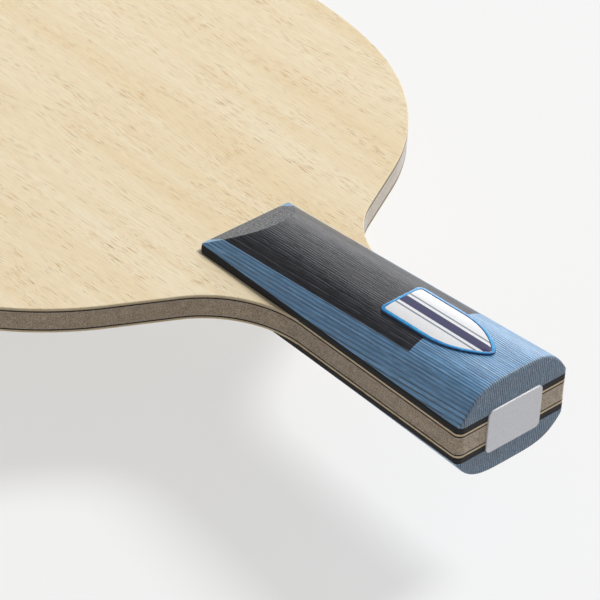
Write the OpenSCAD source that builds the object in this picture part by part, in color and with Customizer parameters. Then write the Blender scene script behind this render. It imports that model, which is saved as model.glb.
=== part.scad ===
// Penhold table tennis blade: seven glued plies, and a short round-backed grip on each side of the handle.
// The origin is the middle of the front hitting face, +Z out of that face, +Y towards the tip.

/* [Head outline] */
// Width of the head at its widest
head_w = 150; // [140:0.5:165]
// Radius of the long side arcs
side_r = 103; // [90:0.5:130]
// Radius of the arc round the tip
tip_r = 70; // [60:0.5:74]
// Radius of the shoulder arcs
shoulder_r = 62; // [55:0.2:70]
// Degrees of side arc below the widest line
side_sweep = 15.8; // [10:0.2:24]
// Slope of the straight run from shoulder to neck, in degrees
shoulder_angle = 27.3; // [20:0.2:36]
// Radius of the hollow at the neck
neck_r = 24.2; // [16:0.5:30]

/* [Plies] */
// Thickness of a face ply
face_t = 0.55; // [0.4:0.05:1.2]
// Thickness of a woven fibre ply
fibre_t = 0.35; // [0.1:0.05:0.5]
// Thickness of an inner ply
inner_t = 0.45; // [0.3:0.05:1]
// Thickness of the core ply
core_t = 3.2; // [2:0.1:5]

/* [Grip] */
// From the middle of the head to the head end of the grip
grip_start = 63.3; // [58:0.1:72]
// Length of the grip
grip_l = 78.5; // [70:0.5:95]
// Width of the grip at its head end
grip_head_w = 26; // [22:0.1:31]
// Width of the handle at the neck
neck_w = 27; // [24:0.1:32]
// Width of the handle at its butt
butt_w = 30.2; // [26:0.1:34]
// Radius of the upright corners at the butt
corner_r = 1.6; // [0.5:0.1:3]
// Radius of the corners at the grip's head end
head_corner_r = 1.7; // [0.5:0.1:4]
// Thickness of the dark veneer under each grip block
liner_t = 1.5; // [0.8:0.05:2]
// Depth of the glue seat in the face ply
seat_d = 0.1; // [0.05:0.05:0.3]
// Height of the grip's crest over the face, at its head end
crest_h = 6.7; // [5.5:0.1:9]
// How much higher the crest is at the butt
butt_rise = 2.1; // [0.5:0.1:3]
// How much lower the grip on the back of the blade is
back_lower = 1.4; // [0:0.1:2]
// Width of the grip's back on the dark veneer, at the head end
back_head_w = 24.3; // [20:0.1:27]
// Width of the grip's back on the dark veneer, at the butt
back_butt_w = 29.9; // [24:0.1:33]
// Fullness of the back's arch at the head end: 2 is a parabola, more is flatter on top
arch_head = 2.2; // [1.8:0.1:4]
// Fullness of the back's arch at the butt
arch_butt = 4.1; // [2:0.1:6]
// Radius of the rounded edge at the butt
butt_round = 0.7; // [0.3:0.1:2]
// Slope of the flat cut at the head end, in degrees
cut_angle = 28.5; // [20:0.5:45]

/* [Insert] */
// Length of solid block left between the dark insert and the butt
insert_from_butt = 19.9; // [14:0.1:34]
// Width of the insert at the head end
insert_head_w = 19.6; // [14:0.1:23]
// Width of the insert at its square end
insert_end_w = 19.8; // [13:0.1:23]

/* [Emblem] */
// Distance from the butt to the straight top of the emblem
emblem_from_butt = 32.9; // [30:0.1:42]
// Width of the emblem
emblem_w = 12; // [8:0.1:14]
// Length of the emblem's straight sides
emblem_side = 13; // [8:0.1:16]
// Radius of the arcs that close the emblem
emblem_arc_r = 19; // [14:0.5:24]
// Radius of the emblem's tip
emblem_tip_r = 1.6; // [1:0.1:2.5]
// Radius of the emblem's upper corners
emblem_corner_r = 1.4; // [1:0.1:2.5]
// Width of the emblem's rim
rim_w = 0.9; // [0.3:0.05:1]
// How far the rim stands off the grip
rim_t = 0.4; // [0.3:0.05:1]
// How far the field inside the rim stands off the grip
field_t = 0.3; // [0.2:0.05:0.9]

/* [Butt plate] */
// Width of the plate on the butt
plate_w = 14.8; // [8:0.1:18]
// Height of the plate
plate_h = 10.2; // [6:0.1:14]
// Thickness of the plate
plate_t = 0.4; // [0.2:0.05:0.8]
// Radius of the plate's corners
plate_r = 1.2; // [0.5:0.1:2]

/* [Hidden] */

// Degrees of turn for each straight facet of an outline arc
arc_step = 3;
// Facets across the grip's arched back
arch_steps = 40;
// Share of the arch's half width that is drawn, past the line where it meets the veneer
arch_reach = 1.15;
// Stations along the grip's crest
crest_steps = 8;
// Degrees between the stations on the rounded edge at the butt
round_step = 15;
// Reach of cutting shapes past the body that they cut
over = 1;

blade_t = core_t + 2 * (inner_t + fibre_t + face_t);
butt_y = -grip_start - grip_l;
neck_x = neck_w / 2;
butt_x = butt_w / 2;
liner_top = liner_t - seat_d;
crest_top = crest_h + butt_rise + over;

// Points on a round stretch, from one angle to another
function arc(centre, r, from, to) =
    let (n = max(2, ceil(abs(to - from) / arc_step)))
    [for (i = [0 : n]) let (a = from + (to - from) * i / n) centre + r * [cos(a), sin(a)]];
function mirrored(points) = [for (i = [len(points) - 1 : -1 : 0]) [-points[i][0], points[i][1]]];

// Middle of an end arc that two side arcs of half width x run into smoothly
function end_arc_y(r_side, r_end, x) = sqrt(pow(r_side - r_end, 2) - pow(r_side - x, 2));

// The head: side arc, tip arc, shoulder arc, straight run and neck hollow, all tangent
side_c = [head_w / 2 - side_r, 0];
tip_c = [0, end_arc_y(side_r, tip_r, head_w / 2)];
tip_angle = atan2(tip_c[1], side_r - head_w / 2);
shoulder_c = side_c + (side_r - shoulder_r) * [cos(side_sweep), -sin(side_sweep)];
shoulder_end = shoulder_angle - 90;
shoulder_p = shoulder_c + shoulder_r * [cos(shoulder_end), sin(shoulder_end)];
neck_top_x = neck_x + neck_r * (1 - sin(shoulder_angle));
neck_top_y = shoulder_p[1] - (shoulder_p[0] - neck_top_x) * tan(shoulder_angle);
neck_c = [neck_x + neck_r, neck_top_y - neck_r * cos(shoulder_angle)];

butt_half = arc([butt_x - corner_r, butt_y + corner_r], corner_r, -90, 0);
blade_half = concat(
    butt_half,
    arc(neck_c, neck_r, 180, 90 + shoulder_angle),
    arc(shoulder_c, shoulder_r, shoulder_end, -side_sweep),
    arc(side_c, side_r, -side_sweep, tip_angle),
    arc(tip_c, tip_r, tip_angle, 90)
);
grip_half = concat(
    butt_half,
    [[neck_x, neck_c[1]]],
    arc([grip_head_w / 2 - head_corner_r, -grip_start - head_corner_r], head_corner_r, 0, 90)
);

module blade_outline() polygon(concat(blade_half, mirrored(blade_half)));
module grip_outline() polygon(concat(grip_half, mirrored(grip_half)));

// One ply of the blade, lying on depth z below the front face
module ply(z, t) translate([0, 0, -z - t]) linear_extrude(t) blade_outline();

// The hollow that a grip is glued into
module glue_seat() translate([0, 0, -seat_d]) linear_extrude(seat_d + over) grip_outline();

// The grip's back: an arch that rises, widens and flattens evenly towards the butt, and rounds over at its edge
function along(at_head, at_butt, s) = at_head + (at_butt - at_head) * s / grip_l;
function butt_drop(s) =
    let (past = max(0, s - grip_l + butt_round))
    butt_round - sqrt(max(0, pow(butt_round, 2) - pow(past, 2)));
function arch_point(s, u, lower) = [
    u * along(back_head_w, back_butt_w, s) / 2,
    -grip_start - s,
    liner_top - butt_drop(s)
        + (crest_h - lower - liner_top + butt_rise * s / grip_l) * (1 - pow(abs(u), along(arch_head, arch_butt, s)))
];
function under(p) = [p[0], p[1], -crest_top];

// The body under that arch, as one ring of points for each station along the grip
module crown(lower = 0) {
    flat_end = grip_l - butt_round;
    stations = concat(
        [for (i = [0 : crest_steps]) flat_end * i / crest_steps],
        [for (a = [round_step : round_step : 90]) flat_end + butt_round * sin(a)]
    );
    rings = [for (s = stations)
        let (top = [for (j = [0 : arch_steps]) arch_point(s, arch_reach * (2 * j / arch_steps - 1), lower)])
        concat(top, [under(top[arch_steps]), under(top[0])])];
    n = arch_steps + 3;
    last = (len(stations) - 1) * n;
    walls = [for (i = [0 : n : last - n], j = [0 : n - 1])
        let (a = i + j, b = i + (j + 1) % n)
        each [[a, b, a + n], [b, b + n, a + n]]];
    polyhedron(
        [for (ring = rings) each ring],
        concat([[for (j = [n - 1 : -1 : 0]) j]], walls, [[for (j = [0 : n - 1]) last + j]])
    );
}

// All that lies over the flat sloping cut at the head end
module head_cut()
    translate([0, -grip_start, liner_top])
        rotate([-cut_angle, 0, 0])
            translate([-neck_w, -grip_l, 0])
                cube([2 * neck_w, 2 * grip_l, grip_l]);

module insert_outline() {
    head_x = insert_head_w / 2;
    end_x = insert_end_w / 2;
    end_y = butt_y + insert_from_butt;
    polygon([
        [-head_x, -grip_start + over], [-end_x, end_y],
        [end_x, end_y], [head_x, -grip_start + over]
    ]);
}

// The veneer is sanded to the same arch as the block that stands on it
module liner(lower = 0)
    intersection() {
        translate([0, 0, -seat_d]) linear_extrude(liner_t) grip_outline();
        crown(lower);
    }

module block(lower = 0)
    difference() {
        intersection() {
            translate([0, 0, liner_top]) linear_extrude(crest_top) grip_outline();
            crown(lower);
        }
        translate([0, 0, liner_top - over]) linear_extrude(crest_top + 2 * over) insert_outline();
        head_cut();
    }

module insert(lower = 0)
    difference() {
        intersection() {
            translate([0, 0, liner_top]) linear_extrude(crest_top) intersection() {
                insert_outline();
                grip_outline();
            }
            crown(lower);
        }
        head_cut();
    }

// Puts a piece of the front grip on the back of the blade
module on_back() translate([0, 0, -blade_t]) mirror([0, 0, 1]) children();

// Shield with a straight top, set in from its outer line by d
module shield(d = 0) {
    half = emblem_w / 2 - d;
    arc_r = emblem_arc_r - d;
    point_r = emblem_tip_r - d;
    round_r = emblem_corner_r - d;
    top_y = butt_y + emblem_from_butt - d;
    side_y = butt_y + emblem_from_butt - emblem_side;
    point_y = end_arc_y(arc_r, point_r, half);
    point_angle = -atan2(point_y, arc_r - half);
    right = concat(
        arc([0, side_y - point_y], point_r, -90, point_angle),
        arc([half - arc_r, side_y], arc_r, point_angle, 0),
        arc([half - round_r, top_y - round_r], round_r, 0, 90)
    );
    polygon(concat(right, mirrored(right)));
}

// A skin of height t on the grip's back
module skin(t)
    difference() {
        translate([0, 0, t]) crown();
        crown();
    }

module face_ply_front() color("#e8d8b4") difference() {
    ply(0, face_t);
    glue_seat();
}
module fibre_ply_front() color("#2b2a29") ply(face_t, fibre_t);
module inner_ply_front() color("#b59f7c") ply(face_t + fibre_t, inner_t);
module core_ply() color("#a8906c") ply(face_t + fibre_t + inner_t, core_t);
module inner_ply_back() color("#b59f7c") ply(face_t + fibre_t + inner_t + core_t, inner_t);
module fibre_ply_back() color("#2b2a29") ply(blade_t - face_t - fibre_t, fibre_t);
module face_ply_back() color("#e8d8b4") difference() {
    ply(blade_t - face_t, face_t);
    on_back() glue_seat();
}

module grip_liner_front() color("#191619") liner();
module grip_block_front() color("#5f8fbe") block();
module grip_insert_front() color("#37373c") insert();
module grip_liner_back() color("#191619") on_back() liner(back_lower);
module grip_block_back() color("#5f8fbe") on_back() block(back_lower);
module grip_insert_back() color("#37373c") on_back() insert(back_lower);

module emblem_rim() color("#1f7fd0") intersection() {
    linear_extrude(crest_top + over) difference() {
        shield();
        shield(rim_w);
    }
    skin(rim_t);
}
module emblem_field() color("#f2f2f4") intersection() {
    linear_extrude(crest_top + over) shield(rim_w);
    skin(field_t);
}

module butt_plate() color("#c9cacd") translate([0, butt_y, -blade_t / 2])
    rotate([90, 0, 0])
        linear_extrude(plate_t)
            polygon(concat(
                arc([plate_w / 2 - plate_r, plate_h / 2 - plate_r], plate_r, 0, 90),
                arc([plate_r - plate_w / 2, plate_h / 2 - plate_r], plate_r, 90, 180),
                arc([plate_r - plate_w / 2, plate_r - plate_h / 2], plate_r, 180, 270),
                arc([plate_w / 2 - plate_r, plate_r - plate_h / 2], plate_r, 270, 360)
            ));

face_ply_front();
fibre_ply_front();
inner_ply_front();
core_ply();
inner_ply_back();
fibre_ply_back();
face_ply_back();
grip_liner_front();
grip_block_front();
grip_insert_front();
grip_liner_back();
grip_block_back();
grip_insert_back();
emblem_rim();
emblem_field();
butt_plate();
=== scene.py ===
import math

import bmesh
import bpy
import numpy as np
from mathutils import Matrix, Vector


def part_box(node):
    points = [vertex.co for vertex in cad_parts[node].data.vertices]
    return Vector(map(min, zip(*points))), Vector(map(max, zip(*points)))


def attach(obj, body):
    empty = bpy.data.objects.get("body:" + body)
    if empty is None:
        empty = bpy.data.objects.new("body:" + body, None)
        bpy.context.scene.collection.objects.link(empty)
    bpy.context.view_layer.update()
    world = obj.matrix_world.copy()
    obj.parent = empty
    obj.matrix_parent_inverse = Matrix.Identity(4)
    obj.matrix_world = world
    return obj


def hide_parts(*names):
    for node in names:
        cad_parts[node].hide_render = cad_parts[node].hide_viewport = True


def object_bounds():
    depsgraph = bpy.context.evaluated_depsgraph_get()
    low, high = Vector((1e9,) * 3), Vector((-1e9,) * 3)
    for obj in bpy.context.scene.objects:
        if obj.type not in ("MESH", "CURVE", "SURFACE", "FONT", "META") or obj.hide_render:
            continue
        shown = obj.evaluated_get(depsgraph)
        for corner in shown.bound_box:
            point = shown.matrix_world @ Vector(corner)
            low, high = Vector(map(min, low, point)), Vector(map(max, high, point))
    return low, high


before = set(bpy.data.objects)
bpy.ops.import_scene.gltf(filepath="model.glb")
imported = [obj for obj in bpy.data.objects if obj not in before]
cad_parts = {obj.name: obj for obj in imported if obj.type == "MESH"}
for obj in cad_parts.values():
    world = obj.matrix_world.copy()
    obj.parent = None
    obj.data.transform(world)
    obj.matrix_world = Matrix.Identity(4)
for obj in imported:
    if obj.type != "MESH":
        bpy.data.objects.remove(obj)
cad_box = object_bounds()


# Core ply: a thick sheet of light soft wood with its grain along the handle.
# The seven plies are glued into one panel, which is sawn and sanded to a single outline,
# so the outline, the sheet and the way that wood is drawn all start here.

HEAD_WIDTH = 0.150
SIDE_R = 0.103
TIP_R = 0.070
SHOULDER_R = 0.062
SIDE_SWEEP = 15.8
SHOULDER_SLOPE = 27.3
NECK_R = 0.0242
NECK_WIDTH = 0.027
BUTT_WIDTH = 0.0302
BUTT_CORNER_R = 0.0016
BUTT_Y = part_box("core_ply")[0].y
SAME_POINT = 1e-7
EASE_TURNS = (0, 30, 60, 90)
CORE_DARK, CORE_PALE, CORE_PORE = (0.175, 0.12, 0.069), (0.58, 0.445, 0.30), (0.10, 0.064, 0.034)
SANDED_EDGE = {"specular_ior_level": 0.75, "sheen_weight": 1.0, "sheen_roughness": 0.3}


def direction(degrees):
    """Unit vector at an angle from +X."""
    return np.array((math.cos(math.radians(degrees)), math.sin(math.radians(degrees))))


def arc(centre, radius, start, end, count=None):
    """Points on a round stretch from one angle to another, about one for each degree."""
    count = count or max(6, math.ceil(abs(end - start)))
    turns = np.radians(np.linspace(start, end, count + 1))
    return np.asarray(centre) + radius * np.column_stack((np.cos(turns), np.sin(turns)))


def closed_outline(right_half):
    """Closes the right half of an outline with its mirror image, without doubled points."""
    loop = np.concatenate((right_half, right_half[::-1] * (-1, 1)))
    step = np.linalg.norm(loop - np.roll(loop, 1, axis=0), axis=1)
    return loop[step > SAME_POINT]


def outward(loop):
    """Unit normals along a closed anticlockwise outline."""
    ahead = np.roll(loop, -1, axis=0) - np.roll(loop, 1, axis=0)
    return np.column_stack((ahead[:, 1], -ahead[:, 0])) / np.linalg.norm(ahead, axis=1)[:, None]


side_centre = np.array((HEAD_WIDTH / 2 - SIDE_R, 0))
tip_centre = np.array((0, math.sqrt((SIDE_R - TIP_R) ** 2 - side_centre[0] ** 2)))
tip_turn = math.degrees(math.atan2(tip_centre[1], -side_centre[0]))
shoulder_centre = side_centre + (SIDE_R - SHOULDER_R) * direction(-SIDE_SWEEP)
shoulder_foot = shoulder_centre + SHOULDER_R * direction(SHOULDER_SLOPE - 90)
slope = math.radians(SHOULDER_SLOPE)
neck_top_x = NECK_WIDTH / 2 + NECK_R * (1 - math.sin(slope))
neck_top_y = shoulder_foot[1] - (shoulder_foot[0] - neck_top_x) * math.tan(slope)
NECK_Y = neck_top_y - NECK_R * math.cos(slope)

butt_corner = arc((BUTT_WIDTH / 2 - BUTT_CORNER_R, BUTT_Y + BUTT_CORNER_R), BUTT_CORNER_R, -90, 0)
head_side = np.concatenate((
    arc((NECK_WIDTH / 2 + NECK_R, NECK_Y), NECK_R, 180, 90 + SHOULDER_SLOPE),
    arc(shoulder_centre, SHOULDER_R, SHOULDER_SLOPE - 90, -SIDE_SWEEP),
    arc(side_centre, SIDE_R, -SIDE_SWEEP, tip_turn),
    arc(tip_centre, TIP_R, tip_turn, 90),
))
blade_outline = closed_outline(np.concatenate((butt_corner, head_side)))


def meshed(name, form):
    """Turns a bmesh into a named mesh."""
    mesh = bpy.data.meshes.new(name)
    form.to_mesh(mesh)
    form.free()
    return mesh


def new_piece(mesh, material, node):
    """Shows a finished mesh with its own material in place of a CAD node, and hides that node."""
    piece = bpy.data.objects.new(mesh.name, mesh)
    bpy.context.scene.collection.objects.link(piece)
    mesh.materials.clear()
    mesh.materials.append(material)
    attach(piece, "root")
    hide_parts(node)
    return piece


def ring(form, loop, heights):
    """A closed row of points over an outline."""
    heights = np.broadcast_to(heights, len(loop))
    return [form.verts.new((x, y, z)) for (x, y), z in zip(loop, heights)]


def band(form, lower, upper):
    """A smooth wall between two rows of points."""
    for i in range(len(lower)):
        j = (i + 1) % len(lower)
        form.faces.new((lower[i], lower[j], upper[j], upper[i])).smooth = True


def flat(form, corners):
    """A flat face with a crisp rim."""
    for edge in form.faces.new(corners).edges:
        edge.smooth = False


def sheet(loop, bottom, top, ease=0.0):
    """A flat sheet cut to an outline, with its upper edge eased by a small radius."""
    form = bmesh.new()
    rows = [ring(form, loop, bottom)]
    for turn in np.radians(EASE_TURNS if ease else EASE_TURNS[-1:]):
        inset = outward(loop) * ease * (1 - math.cos(turn))
        rows.append(ring(form, loop - inset, top - ease * (1 - math.sin(turn))))
    for lower, upper in zip(rows, rows[1:]):
        band(form, lower, upper)
    flat(form, rows[-1])
    flat(form, rows[0][::-1])
    return form


class Wire:
    """An output socket. Sums on it add Math nodes, and node() adds any other node."""

    def __init__(self, tree, socket):
        self.tree, self.socket = tree, socket

    def node(self, kind, settings=None, sockets=None, out=0):
        """Adds a node with its settings, then the values or links of its sockets, and gives one output."""
        added = self.tree.nodes.new(kind)
        for name, value in (settings or {}).items():
            setattr(added, name, value)
        for key, value in (sockets or {}).items():
            if isinstance(value, Wire):
                self.tree.links.new(value.socket, added.inputs[key])
            else:
                added.inputs[key].default_value = value
        return Wire(self.tree, added.outputs[out])

    def math(self, operation, *values):
        return self.node("ShaderNodeMath", {"operation": operation}, dict(enumerate(values)))

    def __add__(self, other): return self.math("ADD", self, other)
    def __radd__(self, other): return self.math("ADD", other, self)
    def __sub__(self, other): return self.math("SUBTRACT", self, other)
    def __rsub__(self, other): return self.math("SUBTRACT", other, self)
    def __mul__(self, other): return self.math("MULTIPLY", self, other)
    def __rmul__(self, other): return self.math("MULTIPLY", other, self)
    def __truediv__(self, other): return self.math("DIVIDE", self, other)
    def __rtruediv__(self, other): return self.math("DIVIDE", other, self)
    def __pow__(self, other): return self.math("POWER", self, other)

    def axes(self):
        """The three parts of a vector."""
        parts = self.node("ShaderNodeSeparateXYZ", {}, {0: self})
        return [Wire(self.tree, s) for s in parts.socket.node.outputs]

    def stretched(self, x, y, z):
        """A place in features to the metre along each axis: fewer draw a pattern out along it."""
        return self.node("ShaderNodeVectorMath", {"operation": "MULTIPLY"}, {0: self, 1: (x, y, z)})

    def noise(self, detail=2.0, roughness=0.5):
        return self.node("ShaderNodeTexNoise", {}, {
            "Vector": self, "Scale": 1.0, "Detail": detail, "Roughness": roughness})

    def between(self, low, high):
        """0 up to low, 1 from high on, and a soft step between them."""
        return self.node("ShaderNodeMapRange", {"interpolation_type": "SMOOTHSTEP"}, {
            "Value": self, "From Min": low, "From Max": high})

    def blend(self, below, above):
        """Goes from one colour to another as this value goes from 0 to 1."""
        below, above = (c if isinstance(c, Wire) else (*c, 1) for c in (below, above))
        return self.node("ShaderNodeMix", {"data_type": "RGBA"}, {0: self, 6: below, 7: above}, out=2)


def new_material(name, **uniform):
    """A material, its shader, and the place on the object in metres; uniform values go on the shader."""
    made = bpy.data.materials.new(name)
    made.use_nodes = True
    shader = made.node_tree.nodes["Principled BSDF"]
    for label, value in uniform.items():
        shader.inputs[label.replace("_", " ").title().replace("Ior", "IOR")].default_value = value
    place = made.node_tree.nodes.new("ShaderNodeTexCoord").outputs["Object"]
    return made, shader, Wire(made.node_tree, place)


def surface(shader, colour, roughness, relief, depth):
    """Joins a material's varying colour, roughness and relief to its shader; depth in metres."""
    tree = colour.tree
    bump = relief.node("ShaderNodeBump", {}, {"Height": relief, "Distance": depth, "Strength": 1.0})
    tree.links.new(colour.socket, shader.inputs["Base Color"])
    tree.links.new(roughness.socket, shader.inputs["Roughness"])
    tree.links.new(bump.socket, shader.inputs["Normal"])


def pores(place, across, along, size, share):
    """Short open pores along the grain: one in a cell of a stretched pattern, in a share of the cells."""
    cells = place.stretched(1 / across, 1 / along, 1 / across)
    cell = {"Vector": cells, "Scale": 1.0}
    reach = cells.node("ShaderNodeTexVoronoi", {}, cell)
    lot = cells.node("ShaderNodeTexVoronoi", {}, cell, out=1).axes()[0]
    return (1 - reach.between(size * 0.45, size)) * lot.between(1 - share, 1.15 - share)


core_wood, shader, place = new_material("core_wood", **SANDED_EDGE)
growth = place.stretched(700, 40, 700).noise(detail=3)
fibres = place.stretched(5000, 3000, 5000).noise(detail=2, roughness=0.7)
vessels = pores(place, across=0.0004, along=0.0016, size=0.4, share=0.55)
tone = (growth * 0.15 + fibres * 0.9).between(0.36, 0.70)
colour = (vessels * 0.6).blend(tone.blend(CORE_DARK, CORE_PALE), CORE_PORE)
surface(shader, colour, roughness=0.56 - fibres * 0.2, relief=fibres - vessels, depth=0.00003)

low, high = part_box("core_ply")
new_piece(meshed("core_sheet", sheet(blade_outline, low.z, high.z)), core_wood, "core_ply")


# Inner plies: a thin veneer on each side of the core, of a closer and slightly redder wood.
# They are laid with their grain along the handle too, and show only as a band on the edge.

INNER_DARK, INNER_PALE, INNER_PORE = (0.26, 0.185, 0.115), (0.57, 0.45, 0.33), (0.14, 0.09, 0.053)

inner_wood, shader, place = new_material("inner_wood", **SANDED_EDGE)
fibres = place.stretched(5000, 700, 5000).noise(detail=3, roughness=0.7)
vessels = pores(place, across=0.0004, along=0.0014, size=0.38, share=0.5)
tone = fibres.between(0.35, 0.72)
colour = (vessels * 0.6).blend(tone.blend(INNER_DARK, INNER_PALE), INNER_PORE)
surface(shader, colour, roughness=0.56 - fibres * 0.2, relief=fibres - vessels, depth=0.00003)

for side in ("front", "back"):
    node = "inner_ply_" + side
    low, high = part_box(node)
    mesh = meshed("inner_veneer_" + side, sheet(blade_outline, low.z, high.z))
    new_piece(mesh, inner_wood, node)


# Fibre plies: a plain-woven dark cloth set in resin under each face veneer.
# Sanded with the edge, it shows as one dark line with the cut ends of its yarns as lighter specks.

CLOTH_DARK, CLOTH_WORN, YARN_END = (0.007, 0.006, 0.006), (0.026, 0.021, 0.018), (0.06, 0.047, 0.036)

fibre_weave, shader, place = new_material("fibre_weave", specular_ior_level=0.25)
yarns = pores(place, across=0.0004, along=0.0004, size=0.5, share=0.45)
soot = place.stretched(1500, 1500, 6000).noise(detail=2)
colour = yarns.blend(soot.between(0.3, 0.7).blend(CLOTH_DARK, CLOTH_WORN), YARN_END)
surface(shader, colour, roughness=0.5 + soot * 0.25, relief=soot + yarns, depth=0.00003)

for side in ("front", "back"):
    node = "fibre_ply_" + side
    low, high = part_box(node)
    mesh = meshed("fibre_cloth_" + side, sheet(blade_outline, low.z, high.z))
    new_piece(mesh, fibre_weave, node)


# Face plies: a pale, straight-grained veneer with short open pores, sanded bare on both sides.
# Its outer edge is eased with fine paper round the head, and each grip beds in a shallow seat.

BLADE_THICKNESS = -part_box("face_ply_back")[0].z
GRIP_START = -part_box("grip_liner_front")[1].y
GRIP_HEAD_WIDTH = 0.026
GRIP_HEAD_CORNER_R = 0.0017
GRIP_HEAD_CORNER_STEPS = 12
SEAT_DEPTH = -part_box("grip_liner_front")[0].z
EDGE_EASE = 0.00022
EASE_RUN_OUT = 0.006
EASE_STEPS = 4
OVER_NECK = NECK_Y + 1e-6
DOUBLED = 1e-8
FACE_PALE, FACE_WARM, FACE_FIBRE = (0.855, 0.745, 0.535), (0.80, 0.635, 0.39), (0.69, 0.545, 0.335)
FACE_STROKE, FACE_PORE, FACE_DARK_STROKE = (0.60, 0.33, 0.11), (0.46, 0.27, 0.11), (0.21, 0.10, 0.03)
FACE_EDGE = (0.64, 0.485, 0.29)
FACE_EDGE_DEPTH = (0.00008, 0.00028)

grip_head_corner = arc(
    (GRIP_HEAD_WIDTH / 2 - GRIP_HEAD_CORNER_R, -GRIP_START - GRIP_HEAD_CORNER_R),
    GRIP_HEAD_CORNER_R, 0, 90, GRIP_HEAD_CORNER_STEPS)
grip_outline = closed_outline(np.concatenate((
    butt_corner, [(NECK_WIDTH / 2, NECK_Y)], grip_head_corner)))


def face_sheet(inner_z, face_z):
    """A face ply from its glued side to its bare side, with the eased edge and the grip's seat."""
    form = bmesh.new()
    out = math.copysign(1, face_z - inner_z)
    handle = blade_outline[:, 1] < OVER_NECK
    ease = EDGE_EASE * np.clip((blade_outline[:, 1] - NECK_Y) / EASE_RUN_OUT, 0, 1) ** 2
    seat_z = face_z - out * SEAT_DEPTH
    glued = ring(form, blade_outline, inner_z)
    rows = [glued]
    for turn in np.linspace(0, math.pi / 2, EASE_STEPS + 1):
        inset = outward(blade_outline) * (ease * (1 - math.cos(turn)))[:, None]
        height = np.where(handle, seat_z, face_z - out * ease * (1 - math.sin(turn)))
        rows.append(ring(form, blade_outline - inset, height))
    for lower, upper in zip(rows, rows[1:]):
        band(form, lower, upper)
    grip_end = ring(form, grip_outline[grip_outline[:, 1] > OVER_NECK], face_z)
    seat_end = ring(form, grip_outline[grip_outline[:, 1] > OVER_NECK], seat_z)
    on_head = [v for v, low in zip(rows[-1], handle) if not low]
    on_seat = [v for v, low in zip(rows[-1], handle) if low]
    first = next(i for i, low in enumerate(handle) if not low)
    right_neck, left_neck = rows[-1][first - 1], rows[-1][(first + len(on_head)) % len(handle)]
    flat(form, [right_neck, *on_head, left_neck, *grip_end[::-1]])
    flat(form, on_seat[:first] + seat_end + on_seat[first:])
    for i in range(len(grip_end) - 1):
        flat(form, (grip_end[i], grip_end[i + 1], seat_end[i + 1], seat_end[i]))
    flat(form, (right_neck, grip_end[0], seat_end[0]))
    flat(form, (left_neck, seat_end[-1], grip_end[-1]))
    flat(form, glued[::-1])
    bmesh.ops.remove_doubles(form, verts=form.verts, dist=DOUBLED)
    bmesh.ops.recalc_face_normals(form, faces=form.faces)
    return form


face_wood, shader, place = new_material("face_wood", specular_ior_level=0.35)
sway = place.stretched(14, 7, 14).noise(detail=1)
x, y, z = place.axes()
place = place.node("ShaderNodeCombineXYZ", {}, {0: x + sway * 0.006, 1: y, 2: z})
bands = place.stretched(75, 3.5, 75).noise(detail=3, roughness=0.6)
streaks = place.stretched(420, 10, 420).noise(detail=4, roughness=0.65)
fibres = place.stretched(4200, 160, 4200).noise(detail=3, roughness=0.6)
patches = place.stretched(170, 45, 170).noise(detail=2).between(0.40, 0.66)
strokes = place.stretched(6600, 230, 6600).noise(detail=1).between(0.62, 0.655)
strokes = strokes * (patches * 0.8 + 0.2)
dark_strokes = place.stretched(6000, 190, 6000).noise(detail=1).between(0.69, 0.72)
dark_strokes = dark_strokes * (patches * 0.6 + 0.4)
short_pores = pores(place, across=0.0006, along=0.0046, size=0.17, share=patches * 0.4 + 0.2)
warm = (bands * 0.75 + streaks * 0.45).between(0.42, 0.82)
grained = (fibres.between(0.38, 0.72) * 0.5).blend(warm.blend(FACE_PALE, FACE_WARM), FACE_FIBRE)
stroked = (strokes * 0.9).blend(grained, FACE_STROKE)
speckled = (short_pores * 0.35).blend(stroked, FACE_PORE)
opened = dark_strokes.blend(speckled, FACE_DARK_STROKE)
depth = BLADE_THICKNESS / 2 - z.math("ABSOLUTE", z + BLADE_THICKNESS / 2)
colour = (depth.between(*FACE_EDGE_DEPTH) * 0.6).blend(opened, FACE_EDGE)
open_grain = dark_strokes + strokes * 0.4 + short_pores * 0.5
roughness = 0.56 + fibres * 0.12 + open_grain * 0.15
surface(shader, colour, roughness, relief=fibres * 0.3 - open_grain, depth=0.00004)

for side in ("front", "back"):
    node = "face_ply_" + side
    low, high = (corner.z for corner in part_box(node))
    form = face_sheet(low, high) if side == "front" else face_sheet(high, low)
    mesh = meshed("face_veneer_" + side, form)
    new_piece(mesh, face_wood, node)


# Grip liners: a black-dyed veneer glued under each grip, cut with it to the handle's outline.
# It lifts the wood off the face, is sanded to the grip's arched back,
# and shows as a dark line along the handle.

LINER_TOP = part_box("grip_liner_front")[1].z
GRIP_LENGTH = -GRIP_START - BUTT_Y
CREST_HEIGHT = 0.0067
BACK_LOWER = 0.0014
BUTT_RISE = 0.0021
BACK_HEAD_WIDTH = 0.0243
BACK_BUTT_WIDTH = 0.0299
ARCH_HEAD = 2.2
ARCH_BUTT = 4.1
BUTT_ROUND = 0.0007
ROUND_START = GRIP_LENGTH - BUTT_ROUND
LINER_LEVELS = 6
LINER_STEPS = 24
LINER_DARK, LINER_WORN = (0.006, 0.0055, 0.006), (0.022, 0.019, 0.021)

CRESTS = {"front": CREST_HEIGHT, "back": CREST_HEIGHT - BACK_LOWER}


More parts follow.
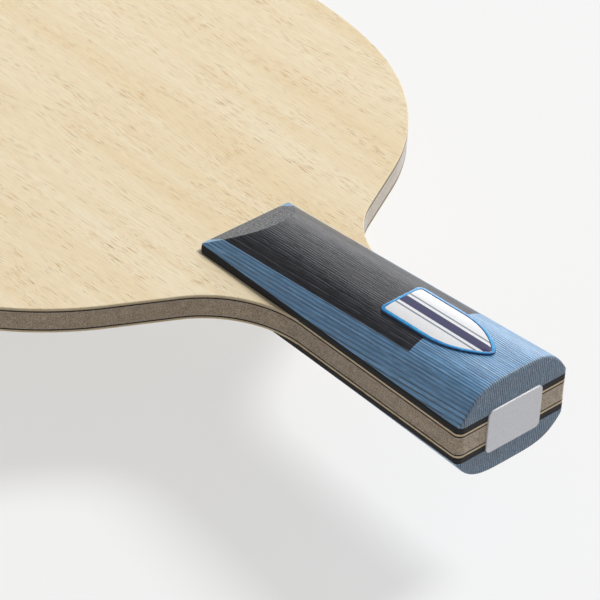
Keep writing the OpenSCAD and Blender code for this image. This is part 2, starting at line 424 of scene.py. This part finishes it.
def back_arch(s, crest):
    """The grip's back at a distance s from its head end: half its width, its rise over the liner,
    the fullness of its arch, and its drop where it rounds over at the butt."""
    way = s / GRIP_LENGTH
    past = np.clip(s - ROUND_START, 0, BUTT_ROUND)
    return (
        (BACK_HEAD_WIDTH + (BACK_BUTT_WIDTH - BACK_HEAD_WIDTH) * way) / 2,
        crest - LINER_TOP + BUTT_RISE * way,
        ARCH_HEAD + (ARCH_BUTT - ARCH_HEAD) * way,
        BUTT_ROUND - np.sqrt(BUTT_ROUND ** 2 - past ** 2))


def back_height(x, s, crest):
    """Height of the grip's back over the face at a place across and along the grip."""
    half, rise, fullness, drop = back_arch(s, crest)
    return LINER_TOP - drop + rise * (1 - (abs(x) / half) ** fullness)


def arch_half(s, crest, height):
    """Half the width of the arch at a height over the face."""
    half, rise, fullness, drop = back_arch(s, crest)
    return half * (1 - (height - LINER_TOP + drop) / rise) ** (1 / fullness)


def sanded_liner(crest):
    """A liner over the front face: level by level, the grip's outline inside the arch."""
    straight = np.linspace(butt_corner[-1], (NECK_WIDTH / 2, NECK_Y), LINER_STEPS)
    to_head = np.linspace((NECK_WIDTH / 2, NECK_Y), grip_head_corner[0], LINER_STEPS)
    loop = closed_outline(np.concatenate((
        butt_corner, straight[1:], to_head[1:], grip_head_corner[1:])))
    form = bmesh.new()
    rows = []
    for height in np.linspace(-SEAT_DEPTH, LINER_TOP, LINER_LEVELS):
        reach = arch_half(-GRIP_START - loop[:, 1], crest, height)
        level = np.column_stack((np.clip(loop[:, 0], -reach, reach), loop[:, 1]))
        rows.append(ring(form, level, height))
    for lower, upper in zip(rows, rows[1:]):
        band(form, lower, upper)
    flat(form, rows[-1])
    flat(form, rows[0][::-1])
    return form


def turned_over(form):
    """Turns a piece of the front grip over on to the back of the blade."""
    for point in form.verts:
        point.co.z = -BLADE_THICKNESS - point.co.z
    bmesh.ops.reverse_faces(form, faces=form.faces)
    return form


liner_veneer, shader, place = new_material("liner_veneer", specular_ior_level=0.25)
fibres = place.stretched(2800, 90, 2800).noise(detail=3, roughness=0.6)
vessels = pores(place, across=0.0006, along=0.004, size=0.35, share=0.5)
colour = fibres.between(0.35, 0.75).blend(LINER_DARK, LINER_WORN)
roughness = 0.5 + fibres * 0.2 + vessels * 0.1
surface(shader, colour, roughness, relief=fibres * 0.5 - vessels, depth=0.00004)

for side, crest in CRESTS.items():
    node = "grip_liner_" + side
    form = sanded_liner(crest) if side == "front" else turned_over(sanded_liner(crest))
    new_piece(meshed("liner_veneer_" + side, form), liner_veneer, node)


# Grip blocks: each is a bundle of thin dyed blue veneers on edge, shaped to an arched back that rises
# and fills out to the butt, cut flat and sloping at the head end, and slotted from there for the insert.

CUT_SLOPE = math.tan(math.radians(28.5))
INSERT_FROM_BUTT = 0.0199
INSERT_HEAD_WIDTH = 0.0196
INSERT_END_WIDTH = 0.0198
INSERT_LENGTH = GRIP_LENGTH - INSERT_FROM_BUTT
ARRIS_EASE = 0.00012
ARRIS_STEPS = (-4, -2, -1, 0, 1, 2, 4)
SLOPE_ROWS = 8
SLOT_ROWS = 36
END_ROWS = 12
SLOT_END_ROW = SLOPE_ROWS + len(ARRIS_STEPS) + SLOT_ROWS - 3
BUTT_TURNS = np.arange(10, 91, 10)
SETTLING_ROUNDS = 30
ARM_COLUMNS = np.linspace(0, 1, 9)
MIDDLE_COLUMNS = np.linspace(-1, 1, 41)
MERGED = 1e-6
SHARP_ANGLE = 24
LAYER_THICKNESS = 0.00055
CUT_FADE = (0.00004, 0.00012)
BUTT_FADE = (0.0002, 0.0007)


def handle_half(s):
    """Half the handle's width at a distance from the grip's head end."""
    straight = np.interp(
        s,
        (GRIP_HEAD_CORNER_R, -GRIP_START - NECK_Y, GRIP_LENGTH - BUTT_CORNER_R),
        (GRIP_HEAD_WIDTH / 2, NECK_WIDTH / 2, BUTT_WIDTH / 2))
    past = np.clip(s - GRIP_LENGTH + BUTT_CORNER_R, 0, BUTT_CORNER_R)
    return straight - BUTT_CORNER_R + np.sqrt(BUTT_CORNER_R ** 2 - past ** 2)


def back_half(s, crest):
    """Half the width at which the arched back comes down to the liner."""
    return np.minimum(handle_half(s), arch_half(s, crest, LINER_TOP))


def insert_half(s):
    """Half the insert's width at a distance from the grip's head end."""
    return np.interp(s, (0, INSERT_LENGTH), (INSERT_HEAD_WIDTH / 2, INSERT_END_WIDTH / 2))


def head_line(x):
    """Distance from the grip's head end to its outline, which turns round the corners."""
    past = np.clip(abs(x) - GRIP_HEAD_WIDTH / 2 + GRIP_HEAD_CORNER_R, 0, GRIP_HEAD_CORNER_R)
    return GRIP_HEAD_CORNER_R - np.sqrt(GRIP_HEAD_CORNER_R ** 2 - past ** 2)


def grip_column(width_at, crest_height, past_slot):
    """Plan points of one lengthwise line over the grip: up the sloping cut, along the back
    to the slot's end, and on over the butt. width_at gives the line's place across the grip
    at a distance from its head end."""
    start = crest = 0.0
    for _ in range(SETTLING_ROUNDS):
        start = head_line(width_at(start))
        crest = max(start, (back_height(width_at(crest), crest, crest_height) - LINER_TOP) / CUT_SLOPE)
    arris = crest + ARRIS_EASE * np.array(ARRIS_STEPS)
    rows = [
        np.linspace(start, arris[0], SLOPE_ROWS)[:-1], arris,
        np.linspace(arris[-1], INSERT_LENGTH, SLOT_ROWS)[1:]]
    if past_slot:
        rows += [
            np.linspace(INSERT_LENGTH, ROUND_START, END_ROWS)[1:],
            ROUND_START + BUTT_ROUND * np.sin(np.radians(BUTT_TURNS))]
    return [(width_at(s), -GRIP_START - s) for s in np.maximum(np.concatenate(rows), start)]


def plan_block(columns, skip=lambda i, j: False):
    """A block of height 1 over a net of plan points, without the cells to skip. Its walls are made
    edge by edge, because an extrusion gives them in a different order each run."""
    form = bmesh.new()
    net = [[form.verts.new((x, y, 1)) for x, y in column] for column in columns]
    for i in range(len(net) - 1):
        for j in range(len(net[i]) - 1):
            if not skip(i, j):
                form.faces.new((net[i][j], net[i][j + 1], net[i + 1][j + 1], net[i + 1][j]))
    bmesh.ops.delete(form, geom=[v for v in form.verts if not v.link_faces], context="VERTS")
    rim = [edge for edge in form.edges if edge.is_boundary]
    foot = {corner: form.verts.new((corner.co.x, corner.co.y, 0)) for corner in form.verts[:]}
    for face in form.faces[:]:
        form.faces.new([foot[corner] for corner in face.verts])
    for start, end in [edge.verts for edge in rim]:
        form.faces.new((start, end, foot[end], foot[start]))
    bmesh.ops.recalc_face_normals(form, faces=form.faces)
    return form


def new_tree(name, sizes):
    """A geometry tree with a named input for each size and for the material, and its inputs as Wires."""
    tree = bpy.data.node_groups.new(name, "GeometryNodeTree")
    tree.interface.new_socket("Geometry", in_out="INPUT", socket_type="NodeSocketGeometry")
    for label, value in sizes.items():
        tree.interface.new_socket(label, in_out="INPUT", socket_type="NodeSocketFloat").default_value = value
    tree.interface.new_socket("Material", in_out="INPUT", socket_type="NodeSocketMaterial")
    tree.interface.new_socket("Geometry", in_out="OUTPUT", socket_type="NodeSocketGeometry")
    inputs = tree.nodes.new("NodeGroupInput").outputs
    return tree, {socket.name: Wire(tree, socket) for socket in inputs if socket.name}


def close_tree(tree, made, inputs):
    """Ends a tree in plain geometry with its material."""
    made = made.node("GeometryNodeRealizeInstances", {}, {0: made})
    made = made.node("GeometryNodeSetMaterial", {}, {"Geometry": made, "Material": inputs["Material"]})
    tree.links.new(made.socket, tree.nodes.new("NodeGroupOutput").inputs[0])


def grown(mesh, tree, material, **sizes):
    """Runs a tree on a mesh, with some of its sizes changed, and gives the plain mesh that comes out."""
    source = bpy.data.objects.new(mesh.name, mesh)
    bpy.context.scene.collection.objects.link(source)
    modifier = source.modifiers.new(tree.name, "NODES")
    modifier.node_group = tree
    wanted = {"Material": material, **{label.replace("_", " "): value for label, value in sizes.items()}}
    for item in tree.interface.items_tree:
        if item.in_out == "INPUT" and item.name in wanted:
            modifier[item.identifier] = wanted[item.name]
    ready = source.evaluated_get(bpy.context.evaluated_depsgraph_get())
    made = bpy.data.meshes.new_from_object(ready)
    source.modifiers.remove(modifier)
    bpy.data.objects.remove(source)
    name = mesh.name
    bpy.data.meshes.remove(mesh)
    made.name = name
    made.shade_smooth()
    made.set_sharp_from_angle(angle=math.radians(SHARP_ANGLE))
    return made


BACK_SIZES = {
    "Grip Start": GRIP_START, "Grip Length": GRIP_LENGTH, "Base": LINER_TOP, "Crest": CREST_HEIGHT,
    "Butt Rise": BUTT_RISE, "Head Width": BACK_HEAD_WIDTH, "Butt Width": BACK_BUTT_WIDTH,
    "Head Arch": ARCH_HEAD, "Butt Arch": ARCH_BUTT, "Butt Round": BUTT_ROUND}


def arched_back(sizes, x, s):
    """Height of the grip's back, as nodes, at a place across and along the grip."""
    way = s / sizes["Grip Length"]
    half = (sizes["Head Width"] + (sizes["Butt Width"] - sizes["Head Width"]) * way) * 0.5
    fullness = sizes["Head Arch"] + (sizes["Butt Arch"] - sizes["Head Arch"]) * way
    rise = sizes["Crest"] - sizes["Base"] + sizes["Butt Rise"] * way
    past = s.math("MAXIMUM", s - sizes["Grip Length"] + sizes["Butt Round"], 0.0)
    past = s.math("MINIMUM", past, sizes["Butt Round"])
    drop = sizes["Butt Round"] - s.math("SQRT", sizes["Butt Round"] * sizes["Butt Round"] - past * past)
    return sizes["Base"] - drop + rise * (1 - (x.math("ABSOLUTE", x) / half) ** fullness)


grip_tree, sizes = new_tree("shaped_grip", {
    **BACK_SIZES, "Cut Slope": CUT_SLOPE, "Arris Ease": ARRIS_EASE, "Side": 1.0, "Depth": 0.0})
x, y, share = sizes["Geometry"].node("GeometryNodeInputPosition").axes()
s = 0 - y - sizes["Grip Start"]
back = arched_back(sizes, x, s)
cut = sizes["Base"] + s * sizes["Cut Slope"]
crest = s.math("SMOOTH_MIN", back, cut, sizes["Arris Ease"])
z = sizes["Base"] + share * s.math("MAXIMUM", crest - sizes["Base"], 0.0)
spot = s.node("ShaderNodeCombineXYZ", {}, {0: x, 1: y, 2: z * sizes["Side"] - sizes["Depth"]})
made = s.node("GeometryNodeSetPosition", {}, {"Geometry": sizes["Geometry"], "Position": spot})
made = s.node("GeometryNodeMergeByDistance", {}, {"Geometry": made, "Distance": MERGED})
below = s.math("LESS_THAN", sizes["Side"], 0.0)
made = s.node("GeometryNodeFlipFaces", {}, {"Mesh": made, "Selection": below})
close_tree(grip_tree, made, sizes)


def dyed_wood(name, gloss, streak, line, layers, cut_layers, butt_layers):
    """Thin dyed veneers on edge under lacquer: a broken dark line between layers, each layer
    in its own tint, and open end grain on the sloping cut and on the butt. gloss is the lacquer's
    shine, streak the strength of the fine lines in a layer, and each pair of layers is dark and pale."""
    wood, shader, place = new_material(name, specular_ior_level=gloss)
    x, y, z = place.axes()
    wander = place.stretched(35, 8, 12).noise(detail=1)
    across = x * (1 / LAYER_THICKNESS) + wander * 0.7
    layer = across.math("FLOOR", across)
    gap = across.math("ABSOLUTE", across - layer - 0.5)
    tint = across.node("ShaderNodeTexWhiteNoise", {"noise_dimensions": "1D"}, {"W": layer})
    fibres = place.stretched(6000, 240, 1500).noise(detail=3, roughness=0.65)
    breaks = place.stretched(2300, 170, 500).noise(detail=2).between(0.25, 0.48)
    vessels = pores(place, across=0.0004, along=0.0026, size=0.3, share=0.45)
    seam = gap.between(0.24, 0.36) * breaks * (0.5 + tint * 0.5)
    fine_lines = place.stretched(3000, 90, 3600).noise(detail=2).between(0.48, 0.62)
    shade = (tint * 0.25 + fibres * 0.9).between(0.25, 0.95)
    lines = seam.math("MAXIMUM", seam, seam.math("MAXIMUM", vessels * 0.4, fine_lines * streak))
    sides = lines.blend(shade.blend(*layers), line)
    grit = place.stretched(3000, 1800, 3000).noise(detail=3, roughness=0.75)
    ends = grit.between(0.38, 0.64) * (1 - seam * 0.35)
    height = z.math("ABSOLUTE", z + BLADE_THICKNESS / 2) - BLADE_THICKNESS / 2
    under_cut = (0 - GRIP_START - y) * CUT_SLOPE + LINER_TOP - height
    on_cut = 1 - under_cut.between(*CUT_FADE)
    on_butt = 1 - (y - BUTT_Y).between(*BUTT_FADE)
    butt = lines.blend((ends * 0.6 + shade * 0.4).blend(*butt_layers), line)
    colour = on_butt.blend(on_cut.blend(sides, ends.blend(*cut_layers)), butt)
    relief = fibres * 0.4 - lines * 0.8 + (on_cut + on_butt) * grit * 0.6
    roughness = 0.29 + fibres * 0.16 + (on_cut + on_butt) * 0.25
    surface(shader, colour, roughness, relief, depth=0.00004)
    return wood


grip_wood = dyed_wood(
    "grip_wood", gloss=0.7, streak=0.33, line=(0.003, 0.016, 0.045),
    layers=((0.12, 0.312, 0.57), (0.295, 0.57, 0.89)),
    cut_layers=((0.10, 0.24, 0.42), (0.33, 0.52, 0.70)),
    butt_layers=((0.13, 0.195, 0.275), (0.335, 0.44, 0.555)))

SIDES = {"front": {}, "back": {"Side": -1.0, "Depth": BLADE_THICKNESS, "Crest": CRESTS["back"]}}


def arm_line(share, hand, crest):
    """A line over one arm of the block, between the insert's wall and the outer edge."""
    return lambda s: hand * (insert_half(s) + share * (back_half(s, crest) - insert_half(s)))


def middle_line(share):
    """A line over the insert, or over the block behind it."""
    return lambda s: share * insert_half(s)


def block_lines(crest):
    """The lines over a whole block from left to right: left arm, middle and right arm."""
    left = [arm_line(share, -1, crest) for share in ARM_COLUMNS[::-1]]
    right = [arm_line(share, 1, crest) for share in ARM_COLUMNS]
    return left + [middle_line(share) for share in MIDDLE_COLUMNS[1:-1]] + right


def in_slot(column, row):
    """Whether a cell of the block's net lies in the slot."""
    first = len(ARM_COLUMNS) - 1
    return first <= column < first + len(MIDDLE_COLUMNS) - 1 and row < SLOT_END_ROW


for side, turn in SIDES.items():
    node = "grip_block_" + side
    crest = CRESTS[side]
    plan = plan_block([grip_column(line, crest, past_slot=True) for line in block_lines(crest)], in_slot)
    mesh = grown(meshed("shaped_block_" + side, plan), grip_tree, grip_wood, **turn)
    new_piece(mesh, grip_wood, node)


# Grip inserts: charcoal-dyed veneers of the same make, glued into the slot of each block
# before it is shaped, so that both share one arched back and one sloping cut.

insert_wood = dyed_wood(
    "insert_wood", gloss=0.27, streak=0.65, line=(0.003, 0.003, 0.004),
    layers=((0.009, 0.0095, 0.0145), (0.076, 0.078, 0.099)),
    cut_layers=((0.035, 0.037, 0.044), (0.25, 0.26, 0.275)),
    butt_layers=((0.03, 0.03, 0.035), (0.10, 0.10, 0.11)))

for side, turn in SIDES.items():
    node = "grip_insert_" + side
    lines = [middle_line(share) for share in MIDDLE_COLUMNS]
    plan = plan_block([grip_column(line, CRESTS[side], past_slot=False) for line in lines])
    mesh = grown(meshed("shaped_insert_" + side, plan), grip_tree, insert_wood, **turn)
    new_piece(mesh, insert_wood, node)


# Emblem rim: a moulded bead of bright blue glossy plastic round a small shield, with shade painted
# darker down its flanks to its foot, stuck on the front grip where the insert ends and bent over its arched
# back.

EMBLEM_FROM_BUTT = 0.0329
EMBLEM_WIDTH = 0.012
EMBLEM_SIDE = 0.013
EMBLEM_ARC_R = 0.019
EMBLEM_TIP_R = 0.0016
EMBLEM_CORNER_R = 0.0014
EMBLEM_ROUND_STEPS = 10
EMBLEM_ARC_STEPS = 28
EMBLEM_SIDE_POINTS = 14
RIM_WIDTH = 0.0009
RIM_HEIGHT = 0.0004
RIM_FULLNESS = 4.0
RIM_SECTION_POINTS = 25
RIM_DEEP, RIM_BRIGHT, RIM_FOOT_SHADE = (0.003, 0.18, 0.52), (0.035, 0.45, 0.86), (0.004, 0.022, 0.10)


def shield_half(inset):
    """Right half of the shield's outline from its tip to its top, set in from the outer line."""
    half, arc_r = EMBLEM_WIDTH / 2 - inset, EMBLEM_ARC_R - inset
    tip_r, corner_r = EMBLEM_TIP_R - inset, EMBLEM_CORNER_R - inset
    top_y = BUTT_Y + EMBLEM_FROM_BUTT - inset
    side_y = BUTT_Y + EMBLEM_FROM_BUTT - EMBLEM_SIDE
    fall = math.sqrt((arc_r - tip_r) ** 2 - (arc_r - half) ** 2)
    turn = -math.degrees(math.atan2(fall, arc_r - half))
    side_run = np.linspace(side_y, top_y - corner_r, EMBLEM_SIDE_POINTS)[1:-1]
    return np.concatenate((
        arc((0, side_y - fall), tip_r, -90, turn, EMBLEM_ROUND_STEPS),
        arc((half - arc_r, side_y), arc_r, turn, 0, EMBLEM_ARC_STEPS)[1:],
        np.column_stack((np.full(len(side_run), half), side_run)),
        arc((half - corner_r, top_y - corner_r), corner_r, 0, 90, EMBLEM_ROUND_STEPS),
    ))


def laid_on_back(made, sizes):
    """Bends flat geometry over the grip's back, with its own height as height over the back."""
    x, y, z = made.node("GeometryNodeInputPosition").axes()
    height = arched_back(sizes, x, 0 - y - sizes["Grip Start"])
    spot = made.node("ShaderNodeCombineXYZ", {}, {0: x, 1: y, 2: height + z})
    return made.node("GeometryNodeSetPosition", {}, {"Geometry": made, "Position": spot})


rim_tree, sizes = new_tree("moulded_rim", {
    **BACK_SIZES, "Rim Width": RIM_WIDTH, "Rim Height": RIM_HEIGHT, "Rim Fullness": RIM_FULLNESS})
path = sizes["Geometry"].node("GeometryNodeMeshToCurve", {}, {0: sizes["Geometry"]})
path = path.node("GeometryNodeSetCurveNormal", {"mode": "Z_UP"}, {"Curve": path})
section = path.node("GeometryNodeCurveArc", {"mode": "RADIUS"}, {
    "Resolution": RIM_SECTION_POINTS, "Radius": 1.0, "Start Angle": 0.0, "Sweep Angle": math.pi})
across = section.node("GeometryNodeInputPosition").axes()[0]
bulge = (1 - across.math("ABSOLUTE", across) ** sizes["Rim Fullness"]) ** (1 / sizes["Rim Fullness"])
spot = across.node("ShaderNodeCombineXYZ", {}, {
    0: across * sizes["Rim Width"] * 0.5, 1: 0 - bulge * sizes["Rim Height"]})
section = section.node("GeometryNodeStoreNamedAttribute", {"data_type": "FLOAT"}, {
    "Geometry": section, "Name": "across", "Value": across})
section = section.node("GeometryNodeSetPosition", {}, {"Geometry": section, "Position": spot})
section = section.node("GeometryNodeSetSplineCyclic", {}, {"Geometry": section, "Cyclic": True})
bead = path.node("GeometryNodeCurveToMesh", {}, {"Curve": path, "Profile Curve": section})
bead = bead.node("GeometryNodeFlipFaces", {}, {"Mesh": bead})
close_tree(rim_tree, laid_on_back(bead, sizes), sizes)

rim_plastic, shader, place = new_material(
    "rim_plastic", specular_ior_level=0.3, coat_weight=0.25, coat_roughness=0.08)
flow = place.stretched(900, 900, 900).noise(detail=3)
haze = place.stretched(120, 120, 120).noise(detail=2)
colour = (flow * 0.4 + haze * 0.6).between(0.3, 0.75).blend(RIM_DEEP, RIM_BRIGHT)
across = place.node("ShaderNodeAttribute", {"attribute_name": "across"}, out="Fac")
# Painted shade: the bead's colour goes dark down its flanks to its foot, where it meets the grip.
foot = across.math("ABSOLUTE", across).between(0.44, 0.82)
colour = (foot * 0.85).blend(colour, RIM_FOOT_SHADE)
surface(shader, colour, roughness=0.2 + flow * 0.12, relief=flow, depth=0.000006)

path = closed_outline(shield_half(RIM_WIDTH / 2))
line = bmesh.new()
corners = ring(line, path, 0)
for i, corner in enumerate(corners):
    line.edges.new((corner, corners[(i + 1) % len(corners)]))
mesh = grown(meshed("emblem_bead", line), rim_tree, rim_plastic)
new_piece(mesh, rim_plastic, "emblem_rim")


# Emblem field: a white printed film inside the rim under a clear poured dome.
# It carries plain lengthwise lines, and lies a little lower than the bead around it.

FIELD_HEIGHT = 0.0003
FIELD_DOME = 0.00005
FIELD_COLUMNS = np.linspace(-1, 1, 21)
TIP_HALF = 1e-6
MILLIMETRES = 1000
STRIPE_EDGE, LINE_INNER_EDGE, LINE_OUTER_EDGE = (1.05, 1.13), (1.75, 1.83), (2.15, 2.23)
FILM_GREY, FILM_WHITE = (0.80, 0.80, 0.82), (0.84, 0.84, 0.855)
NAVY, STEEL = (0.024, 0.022, 0.10), (0.20, 0.24, 0.30)

field_tree, sizes = new_tree("laid_field", BACK_SIZES)
flat_film = sizes["Geometry"]
made = flat_film.node("GeometryNodeMergeByDistance", {}, {"Geometry": flat_film, "Distance": SAME_POINT})
close_tree(field_tree, laid_on_back(made, sizes), sizes)

half = shield_half(RIM_WIDTH)
plan = plan_block([[(share * x, y) for x, y in half[::-1]] for share in FIELD_COLUMNS])
for point in plan.verts:
    row_half = np.interp(point.co.y, half[:, 1], half[:, 0])
    dome = 1 - (point.co.x / row_half) ** 2 if row_half > TIP_HALF else 0
    point.co.z *= FIELD_HEIGHT + FIELD_DOME * dome

field_film, shader, place = new_material(
    "field_film", specular_ior_level=0.2, coat_weight=0.15, coat_roughness=0.06)
x = place.axes()[0]
mottle = place.stretched(2500, 2500, 2500).noise(detail=3)
white = mottle.between(0.3, 0.7).blend(FILM_GREY, FILM_WHITE)
aside = x.math("ABSOLUTE", x) * MILLIMETRES
stripe = 1 - aside.between(*STRIPE_EDGE)
thin_line = aside.between(*LINE_INNER_EDGE) * (1 - aside.between(*LINE_OUTER_EDGE))
colour = thin_line.blend(stripe.blend(white, NAVY), STEEL)
surface(shader, colour, roughness=0.25 + mottle * 0.08, relief=mottle, depth=0.000003)

mesh = grown(meshed("emblem_film", plan), field_tree, field_film)
new_piece(mesh, field_film, "emblem_field")


# Butt plate: a thin stamped plate of light satin metal, glued across the plies on the flat butt.
# Its sheared edge is rounded over on the outer side.

PLATE_CORNER_R = 0.0012
PLATE_CORNER_STEPS = 10
PLATE_EASE = 0.00015
PLATE_DULL, PLATE_BRIGHT = (0.55, 0.55, 0.575), (0.70, 0.70, 0.725)

low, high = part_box("butt_plate")
plate_half_x, plate_half_z = (high.x - low.x) / 2, (high.z - low.z) / 2
plate_corner = np.array((plate_half_x - PLATE_CORNER_R, plate_half_z - PLATE_CORNER_R))
plate_outline = closed_outline(np.concatenate((
    arc(plate_corner * (1, -1), PLATE_CORNER_R, -90, 0, PLATE_CORNER_STEPS),
    arc(plate_corner, PLATE_CORNER_R, 0, 90, PLATE_CORNER_STEPS))))
plate = sheet(plate_outline, 0, high.y - low.y, PLATE_EASE)
upright = Matrix.Translation((0, high.y, (low.z + high.z) / 2)) @ Matrix.Rotation(math.pi / 2, 4, "X")
bmesh.ops.transform(plate, matrix=upright, verts=plate.verts)

plate_metal, shader, place = new_material("plate_metal", metallic=0.6, specular_ior_level=0.4)
brushing = place.stretched(400, 14000, 14000).noise(detail=3, roughness=0.7)
wear = place.stretched(2200, 2200, 2200).noise(detail=4)
colour = (brushing * 0.6 + wear * 0.4).between(0.25, 0.75).blend(PLATE_DULL, PLATE_BRIGHT)
surface(shader, colour, roughness=0.42 + brushing * 0.14 + wear * 0.06, relief=brushing, depth=0.000008)

new_piece(meshed("stamped_plate", plate), plate_metal, "butt_plate")


# Studio: a pale tilted floor that shows on its upper side only, one large soft light from the right,
# a soft panel low behind it that lights the far side of the grip, an even sky and the camera.

FLOOR_SIZE = 8.0
FLOOR_DROP = 0.0214
FLOOR_TILT = 4.0
FLOOR_GLOW = 0.60
FLOOR_TONE = (0.81, 0.82, 0.83)
FLOOR_GLOW_TONE = (1, 0.993, 0.984)
KEY_ELEVATION = 47.0
KEY_TURN = -4.6
KEY_SPREAD = 18.0
KEY_STRENGTH = 2.72
PANEL_TURN = 38.0
PANEL_ELEVATION = 17.0
PANEL_DISTANCE = 1.6
PANEL_SIZE = (1.3, 0.7)
PANEL_POWER = 9.6
SKY = 0.23
BACKDROP = 0.905
CEILING_RISE = (0.5, 0.9)
CAMERA_AZIMUTH = 44.44
CAMERA_ELEVATION = 35.51
CAMERA_ROLL = 3.17
CAMERA_DISTANCE = 0.70491
CAMERA_TARGET = Vector((-0.00555, -0.0864, -0.00295))
FOCAL_PIXELS = 3471.3
PICTURE_PIXELS = 600
SENSOR = 36.0

floor_form = bmesh.new()
reach = FLOOR_SIZE / 2
floor_z = cad_box[0][2] - FLOOR_DROP
fall = math.tan(math.radians(FLOOR_TILT))
floor_form.faces.new([
    floor_form.verts.new((a * reach, b * reach, floor_z + (b * reach - CAMERA_TARGET.y) * fall))
    for a, b in ((-1, -1), (1, -1), (1, 1), (-1, 1))])
floor = bpy.data.objects.new("floor", meshed("floor", floor_form))
bpy.context.scene.collection.objects.link(floor)


def seen_rays(tree):
    """1 where the camera sees a surface, straight or by way of gloss or glass."""
    rays = tree.nodes.new("ShaderNodeLightPath").outputs
    kinds = ("Camera", "Glossy", "Transmission")
    camera, gloss, glass = (Wire(tree, rays["Is " + kind + " Ray"]) for kind in kinds)
    return camera.math("MAXIMUM", camera, camera.math("MAXIMUM", gloss, glass))


paper, shader, place = new_material("paper", specular_ior_level=0.0)
shader.inputs["Base Color"].default_value = (*FLOOR_TONE, 1)
sheet_of_paper = Wire(paper.node_tree, shader.outputs[0])
glow = place.node("ShaderNodeEmission", {}, {"Color": (*FLOOR_GLOW_TONE, 1), "Strength": 1.0})
share = seen_rays(paper.node_tree) * FLOOR_GLOW
lit = place.node("ShaderNodeMixShader", {}, {0: share, 1: sheet_of_paper, 2: glow})
below = place.node("ShaderNodeNewGeometry", out="Backfacing")
clear = place.node("ShaderNodeBsdfTransparent")
lit = place.node("ShaderNodeMixShader", {}, {0: below, 1: lit, 2: clear})
paper.node_tree.links.new(lit.socket, paper.node_tree.nodes["Material Output"].inputs["Surface"])
floor.data.materials.append(paper)

world = bpy.data.worlds.new("sky")
bpy.context.scene.world = world
world.use_nodes = True
sky = world.node_tree.nodes["Background"]
sky.inputs["Color"].default_value = (1, 1, 1, 1)
bearing = Wire(world.node_tree, world.node_tree.nodes.new("ShaderNodeTexCoord").outputs["Generated"])
ceiling = bearing.axes()[2].between(*CEILING_RISE) * bearing.node("ShaderNodeLightPath", out="Is Glossy Ray")
strength = SKY + seen_rays(world.node_tree) * (BACKDROP - SKY) * (1 - ceiling)
world.node_tree.links.new(strength.socket, sky.inputs["Strength"])

key = bpy.data.lights.new("key", "SUN")
key.energy, key.angle = KEY_STRENGTH, math.radians(KEY_SPREAD)
key_lamp = bpy.data.objects.new("key", key)
key_lamp.rotation_euler = (0, math.radians(90 - KEY_ELEVATION), math.radians(KEY_TURN))
bpy.context.scene.collection.objects.link(key_lamp)

panel = bpy.data.lights.new("panel", "AREA")
panel.shape, panel.energy = "RECTANGLE", PANEL_POWER
panel.size, panel.size_y = PANEL_SIZE
panel_lamp = bpy.data.objects.new("panel", panel)
turn, rise = math.radians(PANEL_TURN), math.radians(PANEL_ELEVATION)
to_panel = Vector((math.cos(turn) * math.cos(rise), math.sin(turn) * math.cos(rise), math.sin(rise)))
panel_lamp.location = CAMERA_TARGET + to_panel * PANEL_DISTANCE
panel_lamp.rotation_euler = to_panel.to_track_quat("Z", "Y").to_euler()
bpy.context.scene.collection.objects.link(panel_lamp)

azimuth, elevation, roll = (math.radians(a) for a in (CAMERA_AZIMUTH, CAMERA_ELEVATION, CAMERA_ROLL))
towards = Vector((
    -math.sin(azimuth) * math.cos(elevation),
    -math.cos(azimuth) * math.cos(elevation),
    math.sin(elevation)))
level = Vector((math.cos(azimuth), -math.sin(azimuth), 0))
above = towards.cross(level)
right = level * math.cos(roll) + above * math.sin(roll)
up = above * math.cos(roll) - level * math.sin(roll)
lens = bpy.data.cameras.new("camera")
lens.sensor_width, lens.lens = SENSOR, FOCAL_PIXELS / PICTURE_PIXELS * SENSOR
camera = bpy.data.objects.new("camera", lens)
turned = Matrix((right, up, towards)).transposed().to_4x4()
camera.matrix_world = Matrix.Translation(CAMERA_TARGET + towards * CAMERA_DISTANCE) @ turned
bpy.context.scene.collection.objects.link(camera)
bpy.context.scene.camera = camera
bpy.context.scene.view_settings.view_transform = "Standard"
